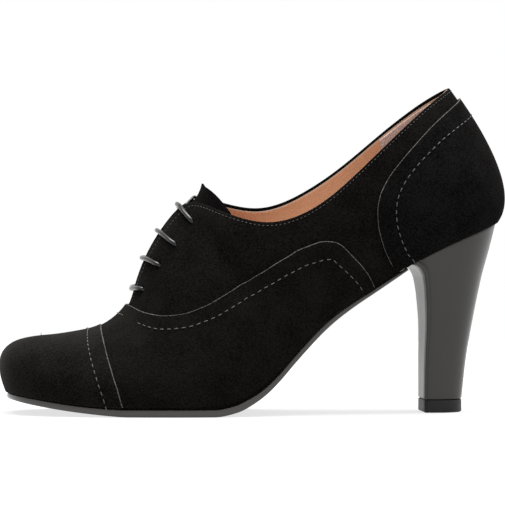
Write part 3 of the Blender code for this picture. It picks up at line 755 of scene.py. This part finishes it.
# Rings of the heel from the wear lift to the seat. up: share of the way from lift to seat.
# front and back: shares of LENGTH from the toe tip. half_width: share of BALL_WIDTH.
HEEL_RINGS = [HeelRing(*row) for row in (
    (0.00, 0.8370, 0.9172, 0.144),
    (0.25, 0.8375, 0.9262, 0.160),
    (0.50, 0.8390, 0.9410, 0.190),
    (0.72, 0.8360, 0.9572, 0.232),
    (0.85, 0.8314, 0.9705, 0.268),
    (0.93, 0.8225, 0.9783, 0.296),
    (0.98, 0.8105, 0.9830, 0.316),
    (1.00, 0.8045, 0.9850, 0.326),
)]


def heel_outline(front, back, width, shrink=0.0):
    """A ring of the heel seen from above, flat in front with tight corners, round at the back."""
    front, back, width = along(front) + shrink, along(back) - shrink, width * BALL_WIDTH - shrink
    corner = 0.06 * (back - front)
    reach = 0.62 * (back - front)
    tail = 0.12 * width
    bend = np.radians([0, 22, 45, 68, 90])
    half = [(front + corner * (1 - math.sin(a)), width - corner * (1 - math.cos(a))) for a in bend]
    half += [(front + corner + s * (back - reach - front - corner), width) for s in (0.33, 0.67)]
    turns = np.linspace(0, math.pi / 2, 40)
    half += [(back - reach + reach * math.sin(a), width * math.cos(a)) for a in turns]
    rest = [(x, y) for x, y in half if y > tail] + [(back, tail)]
    breast = [(front, s * (width - corner)) for s in (-0.97, -0.6, -0.2, 0.2, 0.6, 0.97)]
    points = [(x, -y) for x, y in rest] + rest[::-1] + breast[::-1]
    return [(x - HEEL_SLANT * y * (back - x) / (back - front), y) for x, y in points]


def closed_skin(rings, count):
    """Faces between rings of count points each, and a flat face at each end."""
    last = (rings - 1) * count
    ends = [tuple(reversed(range(count))), tuple(last + i for i in range(count))]
    return ring_faces(rings, count) + ends


def stacked_rings(name, rings, material):
    """A closed piece from rings of points, one above another."""
    coords = [p for ring in rings for p in ring]
    return new_piece(name, coords, closed_skin(len(rings), len(rings[0])), [material])


lift_top = LIFT_HEIGHT + CLEARANCE
HEEL_EDGE = 0.0003  # rounding of the heel's lower and upper edges
heel_tables = [[(row.up, getattr(row, size)) for row in HEEL_RINGS] for size in HeelRing._fields[1:]]
heel_levels = [[0.0, 0.004], np.linspace(0.02, 0.80, 40), np.linspace(0.82, 0.98, 24), [0.995, 1.0]]
heel_rings = []
for up in np.concatenate(heel_levels):
    inset = HEEL_EDGE if up in (0.0, 1.0) else 0.0
    ring = heel_outline(*(float(smooth(table, up)) for table in heel_tables), inset)
    heel_rings.append([(x, y, lift_top + up * (feather_z(x) - CLEARANCE - lift_top)) for x, y in ring])
# Sprayed lacquer, polished: an even charcoal that mirrors the room softly and brightens towards its edges.
heel_cover = new_material("polished black heel cover", "#3A3938", Roughness=0.3, IOR=1.25)
heel = stacked_rings("heel_cover", heel_rings, heel_cover)
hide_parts("heel")


# Lift: a wear piece of hard rubber, nailed under the heel and trimmed to its outline.
# Its lower edge is worn round.
EDGE_ROUNDING = 0.0006
# Height above the floor, and distance in from the heel's outline
LIFT_LEVELS = [
    (0.0, EDGE_ROUNDING), (0.0001, 0.00035), (0.0003, 0.00012), (EDGE_ROUNDING, 0.0),
    (LIFT_HEIGHT - 0.0002, 0.0), (LIFT_HEIGHT, 0.0002),
]
foot = HEEL_RINGS[0]
lift_rings = []
for height, inset in LIFT_LEVELS:
    ring = heel_outline(foot.front, foot.back, foot.half_width, inset)
    lift_rings.append([(x, y, height) for x, y in ring])
# Filled rubber, ground on a wheel: matt black, greyer where it turns up to the light.
lift_rubber = new_material("hard rubber lift", "#131212", Roughness=0.5, IOR=1.33)
lift = stacked_rings("wear_lift", lift_rings, lift_rubber)
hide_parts("top_piece")


# Tongue: suede lined with calf, stitched in under the throat.
# It stands up past the top eyelets, and its top edge is cut higher at its sides.
TONGUE_WALL = 0.0016
TONGUE_SUEDE_WALL = 0.0009
TONGUE_FOOT_WIDTH = 0.026
TONGUE_TOP_WIDTH = 0.050
TONGUE_RISE = 0.0112  # how far the middle of the tongue stands above the top of the facings
TONGUE_SPREAD = 0.25  # its top edge rises by this share of the way from the middle to its sides
TONGUE_BULGE = 0.0013  # how far each half of its top edge is rounded out
TONGUE_SLOPE = math.radians(78)  # angle from the floor that it bends up to, above the facings
tongue_out = -UPPER_WALL - 3 * CLEARANCE


def throat_arch(section, half_width, out):
    """A line over the throat from side to side, and how far each of its points is from the middle."""
    flank = np.linspace(half_width, 0, 14)
    walls = [shoe_point(section, np.linspace(1, 0.2, 161), side, out) for side in (-1, 1)]
    near, far = [read_at(flank, run_along(wall), wall) for wall in walls]
    lean = last_normal(section, 1.0, -1)
    rise = 0.25 * np.linalg.norm(near[-1] - far[-1]) * abs(lean[1]) / math.hypot(lean[0], lean[2])
    upward = unit(np.array([lean[0], 0, lean[2]]))
    shares = np.linspace(0, 1, 9)[1:-1]
    bridge = near[-1] + shares[:, None] * (far[-1] - near[-1])
    bridge = bridge + rise * 4 * (shares * (1 - shares))[:, None] * upward
    return np.concatenate([near, bridge, far[::-1]]), np.concatenate([flank, 0 * shares, flank[::-1]])


def grid_normals(grid):
    """The way out of the foot at each point of a grid over the throat."""
    down, across = np.gradient(grid, axis=0), np.gradient(grid, axis=1)
    normals = np.cross(down, across)
    return unit(normals * np.sign(normals[:, :, 2:].sum()))


tongue_sections = np.linspace(THROAT + 0.55, FACING_TOP - 0.05, 40)
tongue_rows = []
for section in tongue_sections:
    share = (section - tongue_sections[0]) / (tongue_sections[-1] - tongue_sections[0])
    width = TONGUE_FOOT_WIDTH + share * (TONGUE_TOP_WIDTH - TONGUE_FOOT_WIDTH)
    arch, from_middle = throat_arch(section, width / 2, tongue_out)
    tongue_rows.append(arch)
middle_column = len(from_middle) // 2
onward = unit(tongue_rows[-1][middle_column] - tongue_rows[-5][middle_column])
steep = np.array([math.cos(TONGUE_SLOPE), 0, math.sin(TONGUE_SLOPE)])
tongue_top = tongue_rows[-1]
reach = TONGUE_RISE + TONGUE_SPREAD * from_middle
reach = reach + TONGUE_BULGE * np.sin(2 * math.pi * from_middle / TONGUE_TOP_WIDTH)
for share in np.linspace(0, 1, 13)[1:]:
    bend = share * (1 - share / 2) * onward + share**2 / 2 * steep
    tongue_rows.append(tongue_top + reach[:, None] * bend)
tongue_rows = np.array(tongue_rows)
tongue_suede = suede("brushed black suede, tongue", "#060505", "#110F0F", 0.022)
tongue = leather_layer("tongue_suede", [tongue_rows], TONGUE_SUEDE_WALL, [tongue_suede] * 3)
lining_rows = (tongue_rows - TONGUE_SUEDE_WALL * grid_normals(tongue_rows))[:-1]
tongue_lining = leather_layer(
    "tongue_lining", [lining_rows], TONGUE_WALL - TONGUE_SUEDE_WALL,
    [lining_calf, cut_calf, lining_calf],
)
for piece in (tongue, tongue_lining):
    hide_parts("tongue")


# Lace: round cord, braided from cotton and waxed. Each bar comes up through a punched eyelet, lies over the
# facing, crosses the throat and goes down again, and its hidden ends stop just inside the lining.
LACE_DIAMETER = 0.0020
LACE_RADIUS = LACE_DIAMETER / 2
LACE_LANE = LACE_RADIUS + 0.0001
LACE_INSIDE = -UPPER_WALL - 0.0005
LACE_SIDES = 16
BRAID_PITCH = 0.0011  # length of one crossing of the braid
LaceBar = namedtuple("LaceBar", "section up lean")
# One row for each bar: its eyelets' place, and how many sections nearer the toe it crosses the throat
LACE_BARS = [
    LaceBar(6.18, 0.836, 0.36),
    LaceBar(7.09, 0.800, 0.31),
    LaceBar(7.83, 0.798, 0.26),
    LaceBar(8.77, 0.835, 0.20),
]


def smooth_path(knots, count):
    """Points on a smooth curve through knots, with count points on each stretch."""
    knots = np.array(knots)
    ends = np.concatenate([[2 * knots[0] - knots[1]], knots, [2 * knots[-1] - knots[-2]]])
    u = np.linspace(0, 1, count, endpoint=False)[:, None]
    runs = []
    for a, b, c, d in zip(ends, ends[1:], ends[2:], ends[3:]):
        runs.append(
            0.5 * (2 * b + (c - a) * u + (2 * a - 5 * b + 4 * c - d) * u**2 + (3 * b - a - 3 * c + d) * u**3)
        )
    return np.concatenate(runs + [knots[-1:]])


def round_strand(path, radii, sides):
    """Coordinates and faces of a round strand along a path, with flat ends."""
    run = unit(np.gradient(path, axis=0))
    frame_x = np.cross(run[0], [0.3, 0.2, 0.9])
    coords = []
    turns = np.linspace(0, 2 * math.pi, sides, endpoint=False)
    for point, ahead, radius in zip(path, run, radii):
        frame_x = unit(frame_x - ahead * (frame_x @ ahead))
        frame_y = np.cross(ahead, frame_x)
        coords += [point + radius * (math.cos(a) * frame_x + math.sin(a) * frame_y) for a in turns]
    return coords, closed_skin(len(path), sides)


def over_throat(section, out):
    """The middle of the throat at a section, at out from the facings' own height."""
    near, far = [shoe_point(section, 1.0, side, out) for side in (-1, 1)]
    lean = last_normal(section, 1.0, -1)
    rise = 0.25 * np.linalg.norm(far - near) * abs(lean[1]) / math.hypot(lean[0], lean[2])
    return (near + far) / 2 + rise * np.array([lean[0], 0, lean[2]])


# Waxed cotton: black, with a bright line of gloss that the fine braid breaks up a little.
lace_cord = new_material("waxed cotton cord", "#070707", Roughness=0.22, IOR=1.42)
tree = lace_cord.node_tree
place = add_node(tree, "TexCoord").outputs["Object"]
braid = add_node(tree, "TexVoronoi", {"Vector": place, "Scale": 2 / BRAID_PITCH})
bump = add_node(tree, "Bump", {"Height": braid.outputs["Distance"], "Strength": 0.4, "Distance": 0.0001})
tree.links.new(bump.outputs["Normal"], tree.nodes["Principled BSDF"].inputs["Normal"])

# The cord in its hole: how far below the eyelet's middle, as a share of the way up, and how far out it lies
EYELET_KNOTS = [(0.004, LACE_INSIDE), (0.004, -0.0008), (-0.004, 0.5 * LACE_LANE)]
eyelets = []
for number, bar in enumerate(LACE_BARS, 1):
    halves = []
    for side in (-1, 1):
        knots = [shoe_point(bar.section, bar.up - shift, side, out) for shift, out in EYELET_KNOTS]
        for up in np.linspace(bar.up + 0.035, 1, 4):
            section = bar.section - bar.lean * (up - bar.up) / (1 - bar.up)
            knots.append(shoe_point(section, up, side, LACE_LANE))
        halves.append(knots)
        eyelets.append((shoe_point(bar.section, bar.up, side), last_normal(bar.section, bar.up, side)))
    middle = over_throat(bar.section - bar.lean, LACE_LANE)
    path = smooth_path(halves[0] + [middle] + halves[1][::-1], 8)
    coords, faces = round_strand(path, [LACE_RADIUS] * len(path), LACE_SIDES)
    bar_piece = new_piece(f"lace_bar_{number}", coords, faces, [lace_cord])
    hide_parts(f"lace_{number}")

# The lace's end comes up from under the top bar, crosses the tongue and is tucked behind the far facing.
# It is squeezed thinner there. Row and column of each knot in the tongue's grid, and its height above it
END_KNOTS = [
    (-20, -5, 0.0002), (-17, -3, 0.0006), (-14, -1, 0.0009), (-11, 0, 0.0010), (-9, 1, 0.0009),
    (-8, 3, 0.0008), (-8, 5, 0.0008), (-10, 8, 0.0007), (-13, 11, 0.0005), (-17, 13, 0.0002),
]
END_RADIUS = 0.7 * LACE_RADIUS
tongue_normals = grid_normals(tongue_rows)
knots = []
for row, column, lift_off in END_KNOTS:
    spot = (row, middle_column + column)
    knots.append(tongue_rows[spot] + lift_off * tongue_normals[spot])
end_path = smooth_path(knots, 8)
coords, faces = round_strand(end_path, [END_RADIUS] * len(end_path), LACE_SIDES)
new_piece("lace_end", coords, faces, [lace_cord])


# Eyelets: plain holes punched through the facings and their lining, with no metal.
# Each is a little wider than the cord.
EYELET_RADIUS = LACE_RADIUS + 0.00015
PUNCH_LENGTH = 0.006
punch = bmesh.new()
for centre, axis in eyelets:
    turn = Vector(axis).to_track_quat("Z", "Y").to_matrix().to_4x4()
    bmesh.ops.create_cone(
        punch, cap_ends=True, segments=24, radius1=EYELET_RADIUS, radius2=EYELET_RADIUS, depth=PUNCH_LENGTH,
        matrix=Matrix.Translation(Vector(centre)) @ turn,
    )
punch_mesh = bpy.data.meshes.new("punch")
punch.to_mesh(punch_mesh)
punch.free()
puncher = new_object("punch", punch_mesh)
for piece in (quarters, lining):
    holes = piece.modifiers.new("holes", "BOOLEAN")
    holes.operation = "DIFFERENCE"
    holes.solver = "EXACT"
    holes.object = puncher
    bpy.context.view_layer.update()
    cut = bpy.data.meshes.new_from_object(piece.evaluated_get(bpy.context.evaluated_depsgraph_get()))
    piece.modifiers.clear()
    piece.data = cut
bpy.data.objects.remove(puncher)


# Stitching: polyester thread in a long running stitch inside the overlays' edges, and in a fine one along the
# facings and the collar. Each stitch is pulled into the leather at its ends.
THREAD_RADIUS = 0.0002
LONG_STITCH, LONG_PITCH = 0.0021, 0.0034
STITCH_DIP = 2.6  # how far the ends of a stitch go down from its middle, in thread radii
FULL_INSET = 0.96  # a place nearer the edge than this share of the inset belongs to a loop in a bend
# Share of the way along the seam, and how far inside the edge the stitches run there
VAMP_INSET = [(0.0, 0.0055), (0.25, 0.0062), (0.5, 0.0062), (0.72, 0.0078), (0.88, 0.0068), (1.0, 0.0052)]
CAP_INSET = [(0.0, 0.0066), (0.6, 0.0070), (1.0, 0.0058)]
COUNTER_INSET = [(0.0, 0.0084), (0.4, 0.0080), (0.65, 0.0066), (1.0, 0.0086)]
# Each seam's piece, edge, insets, the way from the edge to the stitches, and the height that they lie at
SEAMS = [
    ("vamp_stitching", VAMP_TOP + VAMP_BACK, VAMP_INSET, -1, OVERLAY_OUT),
    ("cap_stitching", CAP_EDGE, CAP_INSET, 1, CAP_OUT),
    ("counter_stitching", COUNTER_EDGE, COUNTER_INSET, -1, OVERLAY_OUT),
]


def beside(places, distance, side):
    """Places beside a line over the last, to the left of the way that the line runs seen from outside."""
    points = last_surface(*places.T, side)
    normals = last_normal(places[:, 0], np.clip(places[:, 1], 0, 0.99), side)
    aside = unit(np.cross(normals, np.gradient(points, axis=0)) * -side)
    return nearest_places(points + distance[:, None] * aside, places, side)


def inset_line(edge, insets, side, sign):
    """Places for a row of stitches inside an overlay's edge on one side, with no loop in a bend."""
    places = edge if side < 0 else opposite(edge)
    distances = smooth(insets, np.linspace(0, 1, len(edge)))
    row = beside(places, sign * distances, side)
    row_points = last_surface(*row.T, side)
    edge_points = last_surface(*places.T, side)
    apart = np.linalg.norm(row_points[:, None] - edge_points[None], axis=2).min(axis=1)
    return row[apart > FULL_INSET * distances]


def stitch_row(places, side, out, length, pitch, radius):
    """The stitches of a row along places, each a small arched rod."""
    points = shoe_point(*places.T, side, out)
    normals = last_normal(*places.T, side)
    run = run_along(points)
    arch = np.linspace(-1, 1, 7)
    rods = []
    for start in np.arange(pitch / 2, run[-1] - length / 2, pitch):
        at = start + arch * length / 2
        rise = read_at(at, run, normals) * (radius * (1.0 - STITCH_DIP * np.abs(arch) ** 3))[:, None]
        rods.append(round_strand(read_at(at, run, points) + rise, radius * (1 - 0.45 * np.abs(arch) ** 4), 6))
    return rods


def stitching(name, rods, material):
    """One piece from all the stitches of a seam."""
    coords, faces = [], []
    for rod, sides in rods:
        faces += [tuple(len(coords) + i for i in face) for face in sides]
        coords += rod
    return new_piece(name, coords, faces, [material])


# Twisted polyester: satin fibres, so the thread is a little paler than the suede and shows as dashes.
thread = new_material("polyester thread", "#4A4745", Roughness=0.6)
for name, corners, insets, way, out in SEAMS:
    edge = smooth_line(corners, 12)
    rods = []
    for side in (-1, 1):
        places = inset_line(edge, insets, side, way)
        rods += stitch_row(places, side, out, LONG_STITCH, LONG_PITCH, THREAD_RADIUS)
    stitching(name, rods, thread)

# Section, and how far below the edge the fine stitches of the facings and the collar run there
COLLAR_INSET = [(5.35, 0.0045), (8.2, 0.0045), (9.0, 0.0032), (9.8, 0.0022), (10.8, 0.0014), (16.0, 0.0012)]
FINE_STITCH, FINE_PITCH, FINE_RADIUS = 0.0011, 0.0019, 0.00015
# A thinner, darker thread, which shows only as a faint dotted line.
fine_thread = new_material("fine polyester thread", "#2E2C2A", Roughness=0.6)
sections = np.linspace(COLLAR_INSET[0][0], LAST_SECTION, 400)
rods = []
for side in (-1, 1):
    ups = down_from_crest(sections, side, smooth(COLLAR_INSET, sections))
    places = np.column_stack([sections, ups])
    rods += stitch_row(places, side, 0.0, FINE_STITCH, FINE_PITCH, FINE_RADIUS)
stitching("collar_stitching", rods, fine_thread)
